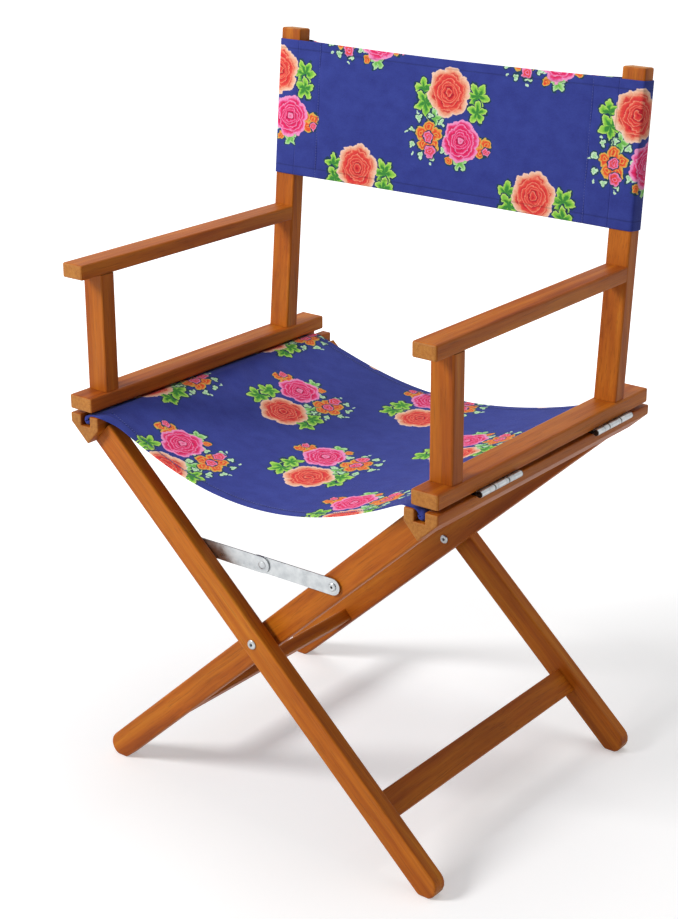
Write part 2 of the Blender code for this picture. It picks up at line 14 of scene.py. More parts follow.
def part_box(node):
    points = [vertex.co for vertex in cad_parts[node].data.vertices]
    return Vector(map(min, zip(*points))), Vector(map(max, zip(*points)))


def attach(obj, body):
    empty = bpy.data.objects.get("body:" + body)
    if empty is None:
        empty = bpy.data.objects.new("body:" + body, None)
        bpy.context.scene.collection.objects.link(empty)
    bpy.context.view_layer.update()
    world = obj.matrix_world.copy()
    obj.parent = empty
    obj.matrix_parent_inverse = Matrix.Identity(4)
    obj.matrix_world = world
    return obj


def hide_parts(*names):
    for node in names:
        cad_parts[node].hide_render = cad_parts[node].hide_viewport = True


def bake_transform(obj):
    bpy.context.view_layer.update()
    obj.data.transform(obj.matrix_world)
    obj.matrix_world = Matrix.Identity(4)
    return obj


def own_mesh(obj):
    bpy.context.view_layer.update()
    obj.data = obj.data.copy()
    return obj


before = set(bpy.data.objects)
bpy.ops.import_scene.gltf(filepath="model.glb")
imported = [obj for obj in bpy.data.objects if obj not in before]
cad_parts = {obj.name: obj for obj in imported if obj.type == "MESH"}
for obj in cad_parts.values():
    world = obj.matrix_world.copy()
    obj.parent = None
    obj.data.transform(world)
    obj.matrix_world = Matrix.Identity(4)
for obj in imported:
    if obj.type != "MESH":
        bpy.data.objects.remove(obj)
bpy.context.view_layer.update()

# Places taken from the frame
right_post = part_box("right_arm_back_post")
back_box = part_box("back_canvas")
seat_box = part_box("seat_canvas")
rail_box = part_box("inner_seat_rail")
dowel_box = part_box("inner_seat_dowel")
RAIL_LIP = rail_box[0][0]                   # the inner edge of a seat rail
DOWEL_X = (dowel_box[0][0] + dowel_box[1][0]) / 2
DOWEL_Z = (dowel_box[0][2] + dowel_box[1][2]) / 2
DOWEL_RADIUS = (dowel_box[1][0] - dowel_box[0][0]) / 2

# The frame's own sizes that its boxes don't give
POST_DEPTH = 0.021
POST_SETBACK = 0.0023       # from the back's box to the posts' front faces, at its bottom
BACK_RAKE = math.radians(5.1)
LEG_RUN, LEG_RISE = 0.2089, 0.2281          # along and up a leg, between its joints
LEG_ANGLE = math.degrees(math.atan2(LEG_RUN, LEG_RISE))
HINGE_KNUCKLES = 3
RECESS = 0.0016             # radius of a bolt head's driving recess

# The cloth
CLOTH = 0.0011              # thickness of the canvas
HEM = 0.011                 # from a cut edge to its row of stitches

# One stitch: along its length, as shares of it, its places, its radii and its lifts
STITCH = 0.0034             # length of one stitch and its gap
STITCH_LENGTH = STITCH * 0.72
STITCH_PLACES = np.array([-0.5, -0.28, 0.28, 0.5])
STITCH_RADII = np.array([0.35, 1.0, 1.0, 0.35]) * 0.00042
STITCH_LIFTS = np.array([0.0001, 0.00045, 0.00045, 0.0001])
STITCH_SIDES = 6

# The back
BACK_BOTTOM, BACK_TOP = 0.6956, 0.8656
PRINT_MIDDLE = 0.8004       # the height of the middle bouquet
SEAM_X = 0.199              # the rows of stitches that close the two sleeves
SLEEVE_EASE = 0.0009        # between a sleeve and its post
PANEL_GAP = 0.0005          # the panel ends this far inside a post
SLACK = 0.0034              # how far the panel's middle stands back
DROOP = 0.0024              # how much lower its upper edge hangs there
CREASE = 0.0007             # half the depth of the short creases beside a seam
CREASE_REACH = 0.024        # how far they run from it
CREASE_FADE = 0.012         # they die out over this width beside a post
CREASE_TURN = 95            # radians of crease in a metre of height
DENT, DENT_REACH = 0.0006, 0.0022           # the valley that a seam's stitches pull

# The seat
SAG_FRONT, SAG_REAR = 0.0625, 0.0435        # how far its middle hangs below the rails
SAG_POWER = 1.06            # a little flatter in its middle than a parabola
RAIL_EASE = 0.0003          # between the cloth and a rail's top
DOWEL_EASE = 0.0004         # between the cloth and its dowel
ROLL_REACH = 0.0072         # the rolled cloth lies within this of the dowel's middle
GROOVE_EDGE = 0.012         # from a rail's lip to the edge of its groove
FOLD_DEPTH = 0.0009         # half the depth of the drag folds beside a rail
RIPPLE = 0.0011             # half the depth of the seat's slow unevenness
FLARE_END = 0.0025          # a drawn corner stops this far short of its rail's end
SEAT_PRINT = 0.080          # how far the print is shifted along the seat

# The print, in millimetres: bouquets in columns, each column dropped half a repeat
COLUMN = 131.0
REPEAT = 220.0
BRUSH = 9.0                 # the whole range of the brush's wander; most is within 2 mm
INK_EDGE = 0.3              # half the width of a printed edge
THREAD_GAP = 0.9            # between threads
VALLEY = 1.6                # half the width of the valley along a row of stitches

# The light: the world's strength for rays that light things, and the lamps, each with its
# place, the width of its disk and its watts
WORLD_LIGHT = 0.26
LAMPS = [("key", (-1.9, -2.6, 2.4), 1.2, 104),
         ("fill", (2.8, -1.6, 1.6), 1.8, 1.5),
         ("top", (0.2, 0.6, 3.2), 2.2, 28)]
LAMP_TARGET = (0, 0, 0.4)
FLOOR_REACH = 14.0          # half the floor's width
FLOOR_DROP = 0.0004         # how far below the feet it lies


def linear(code):
    """The linear RGBA of an sRGB hex colour: each channel through the sRGB curve."""
    channels = [int(code[i:i + 2], 16) / 255 for i in (1, 3, 5)]
    curve = [c / 12.92 if c <= 0.04045 else ((c + 0.055) / 1.055) ** 2.4 for c in channels]
    return (*curve, 1.0)


def add(tree, kind, inputs=None, out=None, stops=None, **settings):
    """Adds a node, makes its settings and colour stops, and gives its inputs values or links.
    Returns the named output, or the node if none is named."""
    node = tree.nodes.new("ShaderNode" + kind)
    for name, value in settings.items():
        setattr(node, name, value)
    for name, value in (inputs or {}).items():
        if isinstance(value, bpy.types.NodeSocket):
            tree.links.new(value, node.inputs[name])
        else:
            node.inputs[name].default_value = value
    if stops:
        while len(node.color_ramp.elements) < len(stops):
            node.color_ramp.elements.new(1.0)
        for element, (place, code) in zip(node.color_ramp.elements, stops):
            element.position = place
            element.color = linear(code)
    return node if out is None else node.outputs[out]


def start_material(name):
    """A material with an empty Principled shader, and its node tree."""
    material = bpy.data.materials.new(name)
    material.use_nodes = True
    return material, material.node_tree, material.node_tree.nodes["Principled BSDF"]


def mesh_object(name, points, faces, material, smooth=True):
    """An object whose mesh has these points (n, 3) and faces, all smooth or all flat."""
    mesh = bpy.data.meshes.new(name)
    mesh.from_pydata(points, [], faces)
    mesh.materials.append(material)
    mesh.polygons.foreach_set("use_smooth", np.full(len(mesh.polygons), smooth))
    mesh.update()
    piece = bpy.data.objects.new(name, mesh)
    bpy.context.scene.collection.objects.link(piece)
    return piece


def along_line(line, count):
    """Points at equal steps along a polyline (n, 2), and their distances from its start."""
    steps = np.hypot(*np.diff(line, axis=0).T)
    reach = np.concatenate([[0], np.cumsum(steps)])
    places = np.linspace(0, reach[-1], count)
    spots = np.stack([np.interp(places, reach, line[:, axis]) for axis in (0, 1)], axis=1)
    return spots, places


def rounded(line, times):
    """Cuts the corners of a polyline (n, 2): each time, every stretch keeps only two points, a
    quarter in from each of its ends, and the line's own two ends stay."""
    for _ in range(times):
        near = 0.75 * line[:-1] + 0.25 * line[1:]
        far = 0.25 * line[:-1] + 0.75 * line[1:]
        inner = np.stack([near, far], axis=1).reshape(-1, 2)
        line = np.concatenate([line[:1], inner, line[-1:]])
    return line


# ---------------------------------------------------------------- the print

# Colours from a petal's rim inwards, at shares of its ring's shading width
PEACH = [(0.0, "#fbd9c6"), (0.25, "#f9c2a2"), (0.55, "#f39a78"), (0.72, "#e24a40"), (1.0, "#c8202f")]
CORAL = [(0.0, "#f9a78a"), (0.16, "#f2745a"), (0.34, "#ea4a40"), (0.7, "#e23338"), (1.0, "#b8172c")]
ROSY = [(0.0, "#f9a3d2"), (0.3, "#f790c4"), (0.45, "#f04c8c"), (0.7, "#e8215f"), (1.0, "#b80f48")]
PINK = [(0.0, "#f9a8d0"), (0.2, "#f468a4"), (0.36, "#ee2c6c"), (0.72, "#e61c5c"), (1.0, "#b30f49")]
HEART = [(0.0, "#f9a8d0"), (0.3, "#f790bc"), (0.8, "#f4709c"), (1.0, "#e0386c")]
LEAF = [(0.0, "#d6f28e"), (0.2, "#a9df58"), (0.55, "#8ccf4a"), (0.85, "#63b13e"), (1.0, "#3d8c3c")]
SPRIG = [(0.0, "#c3ecc0"), (0.4, "#a5de86"), (1.0, "#6fbc54")]
MINT = [(0.0, "#c2ebcb"), (0.6, "#d2f0cc"), (1.0, "#a4dc9c")]
SHADE = [(0.0, "#1d4258"), (1.0, "#173049")]
BUD = [(0.0, "#dccb5c"), (0.22, "#f0a04c"), (0.45, "#ee5a30"), (0.75, "#e8452f"), (1.0, "#c9cf52")]
BLUSH = [(0.0, "#f49fd2"), (0.3, "#f2689a"), (0.5, "#ee4a40"), (1.0, "#d93034")]

# A ring of petals is its reach, how many petals, its turn (2 is one whole petal), how deeply
# and how fully they are notched, the width of its shading, and its colours, in mm.
PETAL_SHIFT = 2.4           # a rose's ring is turned this much further than the last
ROSE_STEP = 0.74            # its width as a share of the last ring's


def rose_rings(reach, first, rest, heart):
    """A rose's rings from the outside in: ring n reaches ROSE_STEP ^ n as far as the first and
    has one petal fewer than the last, down to three, and a small three-petalled heart."""
    rings = [(reach, 6, 0.4, 0.17, 0.42, reach * 0.34, first)]
    for level in range(1, 5):
        narrow = reach * ROSE_STEP ** level
        petals = max(3, 6 - level)
        rings.append((narrow, petals, level * PETAL_SHIFT, 0.15, 0.45, narrow * 0.32, rest))
    rings.append((reach * 0.17, 3, 1.0, 0.2, 0.5, reach * 0.15, heart))
    return rings


def leaf_rings(reach, count, turn, colours):
    """A star of broad leaves over its own dark shadow."""
    return [(reach + 1.8, count, turn + 0.06, 0.50, 0.45, 3.0, SHADE),
            (reach, count, turn, 0.64, 0.52, reach * 0.46, colours)]


def bud_rings(reach, colours):
    """A five-petalled bud over its own dark shadow, with a three-petalled heart."""
    return [(reach + 1.5, 5, 0.0, 0.12, 0.5, 3.0, SHADE),
            (reach, 5, 0.7, 0.14, 0.5, reach * 0.8, colours),
            (reach * 0.42, 3, 0.2, 0.2, 0.5, reach * 0.42, colours[:4])]


# Each group is its centre, across and up in the bouquet, its wreath and its rings. A wreath
# is how many copies stand round the centre, how far out, and its turn as a share of one copy.
# The groups are laid down in this order.
BOUQUET = [
    ((-39, 26), None, leaf_rings(15, 5, 0.3, LEAF)),
    ((-35, 10), None, leaf_rings(17, 5, 1.3, LEAF)),
    ((40, 25), None, leaf_rings(18, 6, 1.1, LEAF)),
    ((41, 6), None, leaf_rings(15, 5, 0.5, LEAF)),
    ((-21, -7), None, leaf_rings(12, 4, 0.9, SPRIG)),
    ((20, -57), None, leaf_rings(12, 5, 0.2, SPRIG)),
    ((-28, -31), (9, 26.5, 0.35), leaf_rings(5.0, 3, 0.4, MINT)),
    ((-28, -31), (7, 33.0, 0.1), [(2.2, 2, 0.5, 0.5, 0.6, 2.0, MINT)]),
    ((-28, -31), (5, 12.0, 0.25), bud_rings(8.4, BUD)),
    ((-28, -31), None, bud_rings(7.0, BLUSH)),
    ((-24, -49), None, bud_rings(8.0, BLUSH)),
    ((50, -34), (3, 7.5, 0.3), bud_rings(7.5, BUD)),
    ((57, -40), None, bud_rings(5.5, BLUSH)),
    ((4, -57), None, bud_rings(5.5, BUD)),
    ((-2, 26), None, rose_rings(32, PEACH, CORAL, CORAL)),
    ((20, -31), None, rose_rings(27.5, ROSY, PINK, HEART)),
]


def paint_group(tree, colour, place, centre, wreath, rings):
    """Paints a group of petal rings over a colour. A ring's rim stands at
    reach x (1 - notch + notch x wave ^ fullness), where wave runs up and down between 0 and 1
    once for each petal, and its colours follow the distance inside the rim. A wreath first
    folds the angle round its centre into equal shares, so that one group is drawn in each."""
    spot = add(tree, "VectorMath", {0: place, 1: (*centre, 0)}, 0, operation="SUBTRACT")

    def polar(vector):
        """The distance and the angle of a place, each as an output."""
        axes = add(tree, "SeparateXYZ", {0: vector})
        return (add(tree, "VectorMath", {0: vector}, "Value", operation="LENGTH"),
                add(tree, "Math", {0: axes.outputs[1], 1: axes.outputs[0]}, 0,
                    operation="ARCTAN2"))

    reach, angle = polar(spot)
    if wreath:
        count, out, turn = wreath
        share = add(tree, "Math", {0: angle, 1: count / math.tau, 2: turn}, 0,
                    operation="MULTIPLY_ADD")
        share = add(tree, "Math", {0: share}, 0, operation="FRACT")
        swing = add(tree, "Math", {0: share, 1: math.tau / count, 2: -math.pi / count}, 0,
                    operation="MULTIPLY_ADD")
        ahead = add(tree, "Math", {0: swing}, 0, operation="COSINE")
        aside = add(tree, "Math", {0: swing}, 0, operation="SINE")
        ahead = add(tree, "Math", {0: ahead, 1: reach, 2: -out}, 0, operation="MULTIPLY_ADD")
        aside = add(tree, "Math", {0: aside, 1: reach}, 0, operation="MULTIPLY")
        reach, angle = polar(add(tree, "CombineXYZ", {0: ahead, 1: aside}, 0))
    for size, petals, turn, notch, fullness, width, colours in rings:
        wave = add(tree, "Math", {0: angle, 1: petals / math.pi, 2: turn}, 0,
                   operation="MULTIPLY_ADD")
        wave = add(tree, "Math", {0: wave, 1: 1.0}, 0, operation="PINGPONG")
        wave = add(tree, "Math", {0: wave, 1: fullness}, 0, operation="POWER")
        rim = add(tree, "Math", {0: wave, 1: size * notch, 2: size * (1 - notch)}, 0,
                  operation="MULTIPLY_ADD")
        inside = add(tree, "Math", {0: rim, 1: reach}, 0, operation="SUBTRACT")
        depth = add(tree, "MapRange", {0: inside, 2: width}, 0)
        paint = add(tree, "ValToRGB", {0: depth}, 0, colours)
        cover = add(tree, "MapRange", {0: inside, 1: -INK_EDGE, 2: INK_EDGE}, 0,
                    interpolation_type="SMOOTHSTEP")
        colour = add(tree, "Mix", {0: cover, 6: colour, 7: paint}, 2, data_type="RGBA")
    return colour


def make_canvas():
    """Cotton canvas, woven plain and screen printed: matt, faintly woven, the ink a little
    uneven. Threads are 0.9 mm apart, about twice as coarse as real ones, so that they show."""
    material, tree, shader = start_material("printed_cotton_canvas")
    # the place on the cloth in mm, and how far it is from a hemmed edge
    cloth = add(tree, "Attribute", None, "Vector", attribute_name="cloth")
    axes = add(tree, "SeparateXYZ", {0: cloth})
    # the ground's navy drifts over about 20 mm
    mottle = add(tree, "TexNoise", {"Vector": cloth, "Scale": 0.05, "Detail": 4.0}, 0)
    colour = add(tree, "ValToRGB", {0: mottle}, 0, [(0.3, "#2d3889"), (0.7, "#354296")])

    # the nearest bouquet: columns side by side, every other one dropped by half a repeat
    column = add(tree, "Math", {0: axes.outputs[0], 1: COLUMN}, 0, operation="DIVIDE")
    column = add(tree, "Math", {0: column}, 0, operation="ROUND")
    across = add(tree, "Math", {0: column, 1: -COLUMN, 2: axes.outputs[0]}, 0,
                 operation="MULTIPLY_ADD")
    odd = add(tree, "Math", {0: column, 1: 1.0}, 0, operation="PINGPONG")
    above = add(tree, "Math", {0: odd, 1: REPEAT / 2, 2: axes.outputs[1]}, 0,
                operation="MULTIPLY_ADD")
    above = add(tree, "Math", {0: above, 1: -REPEAT / 2, 2: REPEAT / 2}, 0,
                operation="WRAP")
    flat = add(tree, "CombineXYZ", {0: across, 1: above}, 0)
    # the brush's own wander, over about 8 mm
    brush = add(tree, "TexNoise", {"Vector": cloth, "Scale": 0.12, "Detail": 3.0}, 1)
    place = add(tree, "VectorMath", {0: brush, 1: (BRUSH, BRUSH, 0.0), 2: flat}, 0,
                operation="MULTIPLY_ADD")
    place = add(tree, "VectorMath", {0: place, 1: (BRUSH / 2, BRUSH / 2, 0.0)}, 0,
                operation="SUBTRACT")
    for centre, wreath, rings in BOUQUET:
        colour = paint_group(tree, colour, place, centre, wreath, rings)
    # the ink lies unevenly, over about 2 mm
    streak = add(tree, "TexNoise", {"Vector": cloth, "Scale": 0.5, "Detail": 3.0}, 0)
    ink = add(tree, "MapRange", {0: streak, 1: 0.3, 2: 0.7, 3: 0.90, 4: 1.06}, 0)

    # a sewn hem: the valley that its stitches pull, darkened a little as painted shade
    valley = add(tree, "Math", {0: axes.outputs[2], 1: HEM * 1000}, 0, operation="SUBTRACT")
    valley = add(tree, "Math", {0: valley}, 0, operation="ABSOLUTE")
    groove = add(tree, "MapRange", {0: valley, 2: VALLEY}, 0, interpolation_type="SMOOTHSTEP")
    dark = add(tree, "MapRange", {0: groove, 3: 0.72, 4: 1.0}, 0)

    # a plain weave: two waves across each other, one for each way of the threads
    threads = []
    for axis in (0, 1):
        turned = add(tree, "Math", {0: axes.outputs[axis], 1: math.tau / THREAD_GAP}, 0,
                     operation="MULTIPLY")
        threads.append(add(tree, "Math", {0: turned}, 0, operation="SINE"))
    weave = add(tree, "Math", {0: threads[0], 1: threads[1]}, 0, operation="MULTIPLY")
    # painted light and shade on the weave: the threads' crests a little lighter, the hollows between
    # them a little darker
    lit = add(tree, "MapRange", {0: weave, 1: -1.0, 3: 0.93, 4: 1.05}, 0)
    for shade in (ink, dark, lit):
        colour = add(tree, "Mix", {0: 1.0, 6: colour, 7: shade}, 2, data_type="RGBA",
                     blend_type="MULTIPLY")
    height = add(tree, "Math", {0: weave, 1: 0.12, 2: groove}, 0, operation="MULTIPLY_ADD")
    bump = add(tree, "Bump", {"Strength": 0.5, "Distance": 0.0006, "Height": height}, 0)
    tree.links.new(colour, shader.inputs["Base Color"])
    tree.links.new(bump, shader.inputs["Normal"])
    shader.inputs["Roughness"].default_value = 0.85
    shader.inputs["Specular IOR Level"].default_value = 0.25
    shader.inputs["Sheen Weight"].default_value = 0.05
    shader.inputs["Sheen Roughness"].default_value = 0.5
    return material


def make_thread():
    """Spun polyester thread: smoother than the cloth and a little lighter, so stitches catch
    the light. Its fibres show as flecks about 1 mm long."""
    material, tree, shader = start_material("navy_polyester_thread")
    spot = add(tree, "TexCoord", None, "Object")
    twist = add(tree, "TexNoise", {"Vector": spot, "Scale": 900.0, "Detail": 2.0}, 0)
    colour = add(tree, "ValToRGB", {0: twist}, 0, [(0.3, "#333c86"), (0.7, "#5560ac")])
    tree.links.new(colour, shader.inputs["Base Color"])
    shader.inputs["Roughness"].default_value = 0.5
    return material


def make_hardwood(name, turn, number, depth):
    """Reddish tropical hardwood, planed, oiled and rubbed: satin, with straight grain along the
    board, darker pore lines about 1 mm apart, slow bands of colour and plain end grain. turn
    takes the board's length to X; number sets its figure, and depth how much painted shade darkens
    it."""
    material, tree, shader = start_material("oiled_hardwood_" + name)
    coordinates = add(tree, "TexCoord")
    angles = tuple(math.radians(degrees) for degrees in turn)
    shift = (0.37 * number, 0.11 * number, 0.23 * number)
    board = add(tree, "Mapping", {"Vector": coordinates.outputs["Object"], "Rotation": angles,
                "Location": shift}, 0)
    # the grain bends by up to 6 mm either way, over about 200 mm
    drift = add(tree, "TexNoise", {"Vector": board, "Scale": 5.0, "Detail": 2.0}, 1)
    bent = add(tree, "VectorMath", {0: drift, 1: (0.0, 0.012, 0.012), 2: board}, 0,
               operation="MULTIPLY_ADD")
    # bands about 15 mm wide and 400 mm long
    stretched = add(tree, "Mapping", {"Vector": bent, "Scale": (1.6, 42.0, 42.0)}, 0)
    bands = add(tree, "TexNoise", {"Vector": stretched, "Scale": 1.6, "Detail": 5.0,
                "Roughness": 0.6}, 0)
    colour = add(tree, "ValToRGB", {0: bands}, 0, [(0.25, "#853a08"), (0.42, "#ab550c"),
                 (0.58, "#c06a14"), (0.78, "#d28422")])
    # pores about 1 mm apart and 45 mm long
    fine = add(tree, "Mapping", {"Vector": bent, "Scale": (22.0, 900.0, 900.0)}, 0)
    pores = add(tree, "TexNoise", {"Vector": fine, "Scale": 1.0, "Detail": 3.0}, 0)
    pore = add(tree, "MapRange", {0: pores, 1: 0.32, 2: 0.47}, 0,
               interpolation_type="SMOOTHSTEP")
    darker = add(tree, "MapRange", {0: pore, 3: 0.76, 4: 1.0}, 0)
    # the oil has taken unevenly, over about 110 mm, and depth darkens all of it as painted shade
    patch = add(tree, "TexNoise", {"Vector": board, "Scale": 9.0, "Detail": 3.0}, 0)
    oil_and_painted_shade = add(tree, "MapRange", {0: patch, 1: 0.3, 2: 0.7, 3: 0.88 - depth, 4: 1.06 - depth}, 0)

    # faces that look along the board show end grain, its flecks about 4 mm across
    facing = add(tree, "Mapping", {"Vector": coordinates.outputs["Normal"], "Rotation": angles},
                 0, vector_type="VECTOR")
    ahead = add(tree, "SeparateXYZ", {0: facing}, 0)
    ahead = add(tree, "Math", {0: ahead}, 0, operation="ABSOLUTE")
    is_end = add(tree, "MapRange", {0: ahead, 1: 0.80, 2: 0.95}, 0)
    rings = add(tree, "TexNoise", {"Vector": bent, "Scale": 260.0, "Detail": 3.0}, 0)
    end_grain = add(tree, "ValToRGB", {0: rings}, 0, [(0.3, "#ad6c2d"), (0.5, "#ba7833"),
                    (0.75, "#c3843c")])
    colour = add(tree, "Mix", {0: is_end, 6: colour, 7: end_grain}, 2, data_type="RGBA")
    for shade in (darker, oil_and_painted_shade):
        colour = add(tree, "Mix", {0: 1.0, 6: colour, 7: shade}, 2, data_type="RGBA",
                     blend_type="MULTIPLY")
    gloss = add(tree, "MapRange", {0: bands, 3: 0.56, 4: 0.42}, 0)
    bump = add(tree, "Bump", {"Strength": 0.3, "Distance": 0.0004, "Height": pore}, 0)
    tree.links.new(colour, shader.inputs["Base Color"])
    tree.links.new(gloss, shader.inputs["Roughness"])
    tree.links.new(bump, shader.inputs["Normal"])
    shader.inputs["Specular IOR Level"].default_value = 0.2
    return material


def make_zinc(name, along_x, axis_spots=(), knuckles=None):
    """Zinc-plated steel: bright grey, faintly clouded over about 11 mm, with drawn lines 1 mm
    apart and 25 mm long. Where an axis along Y goes through one of axis_spots, a driving recess
    is painted on as dark shade. knuckles are a hinge's first end along Y and the length of one
    knuckle: a gap of painted shade shows between each two."""
    material, tree, shader = start_material(name)
    spot = add(tree, "TexCoord", None, "Object")
    stretch = (40.0, 900.0, 900.0) if along_x else (900.0, 40.0, 900.0)
    drawn = add(tree, "Mapping", {"Vector": spot, "Scale": stretch}, 0)
    height = add(tree, "TexNoise", {"Vector": drawn, "Scale": 1.0, "Detail": 3.0}, 0)
    cloud = add(tree, "TexNoise", {"Vector": spot, "Scale": 90.0, "Detail": 3.0}, 0)
    colour = add(tree, "ValToRGB", {0: cloud}, 0, [(0.3, "#a4a8ab"), (0.7, "#c3c6c7")])
    rough = add(tree, "MapRange", {0: cloud, 1: 0.3, 2: 0.7, 3: 0.26, 4: 0.38}, 0)
    hollows_with_painted_shade = []
    for place in axis_spots:
        off = add(tree, "VectorMath", {0: spot, 1: place}, 0, operation="SUBTRACT")
        off = add(tree, "VectorMath", {0: off, 1: (1.0, 0.0, 1.0)}, 0, operation="MULTIPLY")
        off = add(tree, "VectorMath", {0: off}, "Value", operation="LENGTH")
        # painted shade: a dark disc for the driving recess
        rim = add(tree, "MapRange", {0: off, 1: RECESS - 0.0002, 2: RECESS + 0.0003}, 0,
                  interpolation_type="SMOOTHSTEP")
        hollows_with_painted_shade.append((rim, "#2c2a29"))
    if knuckles:
        first, pitch = knuckles
        along = add(tree, "SeparateXYZ", {0: spot}, 1)
        along = add(tree, "Math", {0: along, 1: first - pitch / 2}, 0, operation="SUBTRACT")
        along = add(tree, "Math", {0: along, 1: pitch}, 0, operation="DIVIDE")
        along = add(tree, "Math", {0: along}, 0, operation="FRACT")
        along = add(tree, "Math", {0: along, 1: 0.5}, 0, operation="SUBTRACT")
        along = add(tree, "Math", {0: along}, 0, operation="ABSOLUTE")
        # painted shade: a dark band in each gap between two knuckles
        gap = add(tree, "MapRange", {0: along, 1: 0.02, 2: 0.06}, 0,
                  interpolation_type="SMOOTHSTEP")
        hollows_with_painted_shade.append((gap, "#4a4845"))
    for outside, code in hollows_with_painted_shade:
        colour = add(tree, "Mix", {0: outside, 6: linear(code), 7: colour}, 2, data_type="RGBA")
        height = add(tree, "Math", {0: outside, 1: 3.0, 2: height}, 0,
                     operation="MULTIPLY_ADD")
    bump = add(tree, "Bump", {"Strength": 0.15, "Distance": 0.0003, "Height": height}, 0)
    tree.links.new(colour, shader.inputs["Base Color"])
    tree.links.new(rough, shader.inputs["Roughness"])
    tree.links.new(bump, shader.inputs["Normal"])
    shader.inputs["Metallic"].default_value = 1.0
    return material


# ---------------------------------------------------------------- the cloth

def sheet_object(name, grid, places, material):
    """A closed sheet of cloth round its middle surface, a grid of points (rows, columns, 3):
    one layer stands half the thickness out along the normals and one as far in, and quads
    join their edges all round. Places are each point's place on the cloth, in metres."""
    normal = np.cross(np.gradient(grid, axis=1), np.gradient(grid, axis=0))
    normal /= np.linalg.norm(normal, axis=2)[:, :, None]
    rows, columns = grid.shape[:2]
    layers = np.stack([grid + normal * CLOTH / 2, grid - normal * CLOTH / 2])
    numbers = np.arange(rows * columns).reshape(rows, columns)
    top = np.stack([numbers[:-1, :-1], numbers[:-1, 1:], numbers[1:, 1:], numbers[1:, :-1]],
                   axis=2).reshape(-1, 4)
    rim = np.concatenate([numbers[0], numbers[1:, -1], numbers[-1, -2::-1], numbers[-2::-1, 0]])
    under = rows * columns
    edge = np.stack([rim[1:], rim[:-1], rim[:-1] + under, rim[1:] + under], axis=1)
    faces = np.concatenate([top, top[:, ::-1] + under, edge])
    # the normal turns with the order of the corners, so the faces are turned to match
    corner = layers[0].reshape(-1, 3)[top[0]]
    way = np.cross(corner[1] - corner[0], corner[2] - corner[0])
    if way @ normal[0, 0] < 0:
        faces = faces[:, ::-1]
    piece = mesh_object(name, layers.reshape(-1, 3), faces.tolist(), material)
    smooth = np.arange(len(faces)) < 2 * len(top)
    piece.data.polygons.foreach_set("use_smooth", smooth)
    values = np.broadcast_to(np.stack(np.broadcast_arrays(*places), axis=-1), grid.shape) * 1000
    layer = piece.data.attributes.new("cloth", "FLOAT_VECTOR", "POINT")
    layer.data.foreach_set("vector", np.tile(values.reshape(-1), 2).astype(np.float32))
    return piece


def back_place(across, behind, height):
    """A place on the raked back: across the chair, behind the posts' front faces, and up.
    y = foot + rise x tan(rake) + behind x cos(rake), and z = height - behind x sin(rake)."""
    foot = back_box[0][1] + POST_SETBACK
    rise = height - back_box[0][2]
    y = foot + rise * math.tan(BACK_RAKE) + behind * math.cos(BACK_RAKE)
    z = height - behind * math.sin(BACK_RAKE)
    return np.stack(np.broadcast_arrays(across, y, z), axis=-1)


def stitches(name, spots, way, face, thread):
    """A row of stitches on spots (n, 3), as one mesh. Each is a rod along way, on a cloth that
    faces face: at each of STITCH_PLACES a ring of points round the rod, at
    place x length x way + radius x (cos x side + sin x face) + lift x face, so that it is
    thick in its middle and sunk at its ends."""
    sides, rings = STITCH_SIDES, len(STITCH_PLACES)
    ring = np.arange(sides) * math.tau / sides
    side = np.cross(way, face)
    body = (STITCH_PLACES[:, None, None] * STITCH_LENGTH * way
            + STITCH_RADII[:, None, None] * (np.cos(ring)[:, None] * side
                                             + np.sin(ring)[:, None] * face)
            + STITCH_LIFTS[:, None, None] * face)
    points = (spots[:, None, None, :] + body).reshape(-1, 3)
    # quads between the rings, a cap at each end, and the same for each stitch in turn
    level, turn = np.meshgrid(np.arange(rings - 1), np.arange(sides), indexing="ij")
    following = (turn + 1) % sides
    low, high = level * sides, (level + 1) * sides
    quads = np.stack([low + turn, high + turn, high + following, low + following],
                     axis=-1).reshape(-1, 4)
    caps = np.stack([np.arange(sides), rings * sides - 1 - np.arange(sides)])
    first = (np.arange(len(spots)) * rings * sides)[:, None, None]
    faces = (quads + first).reshape(-1, 4).tolist() + (caps + first).reshape(-1, sides).tolist()
    return mesh_object(name, points, faces, thread)


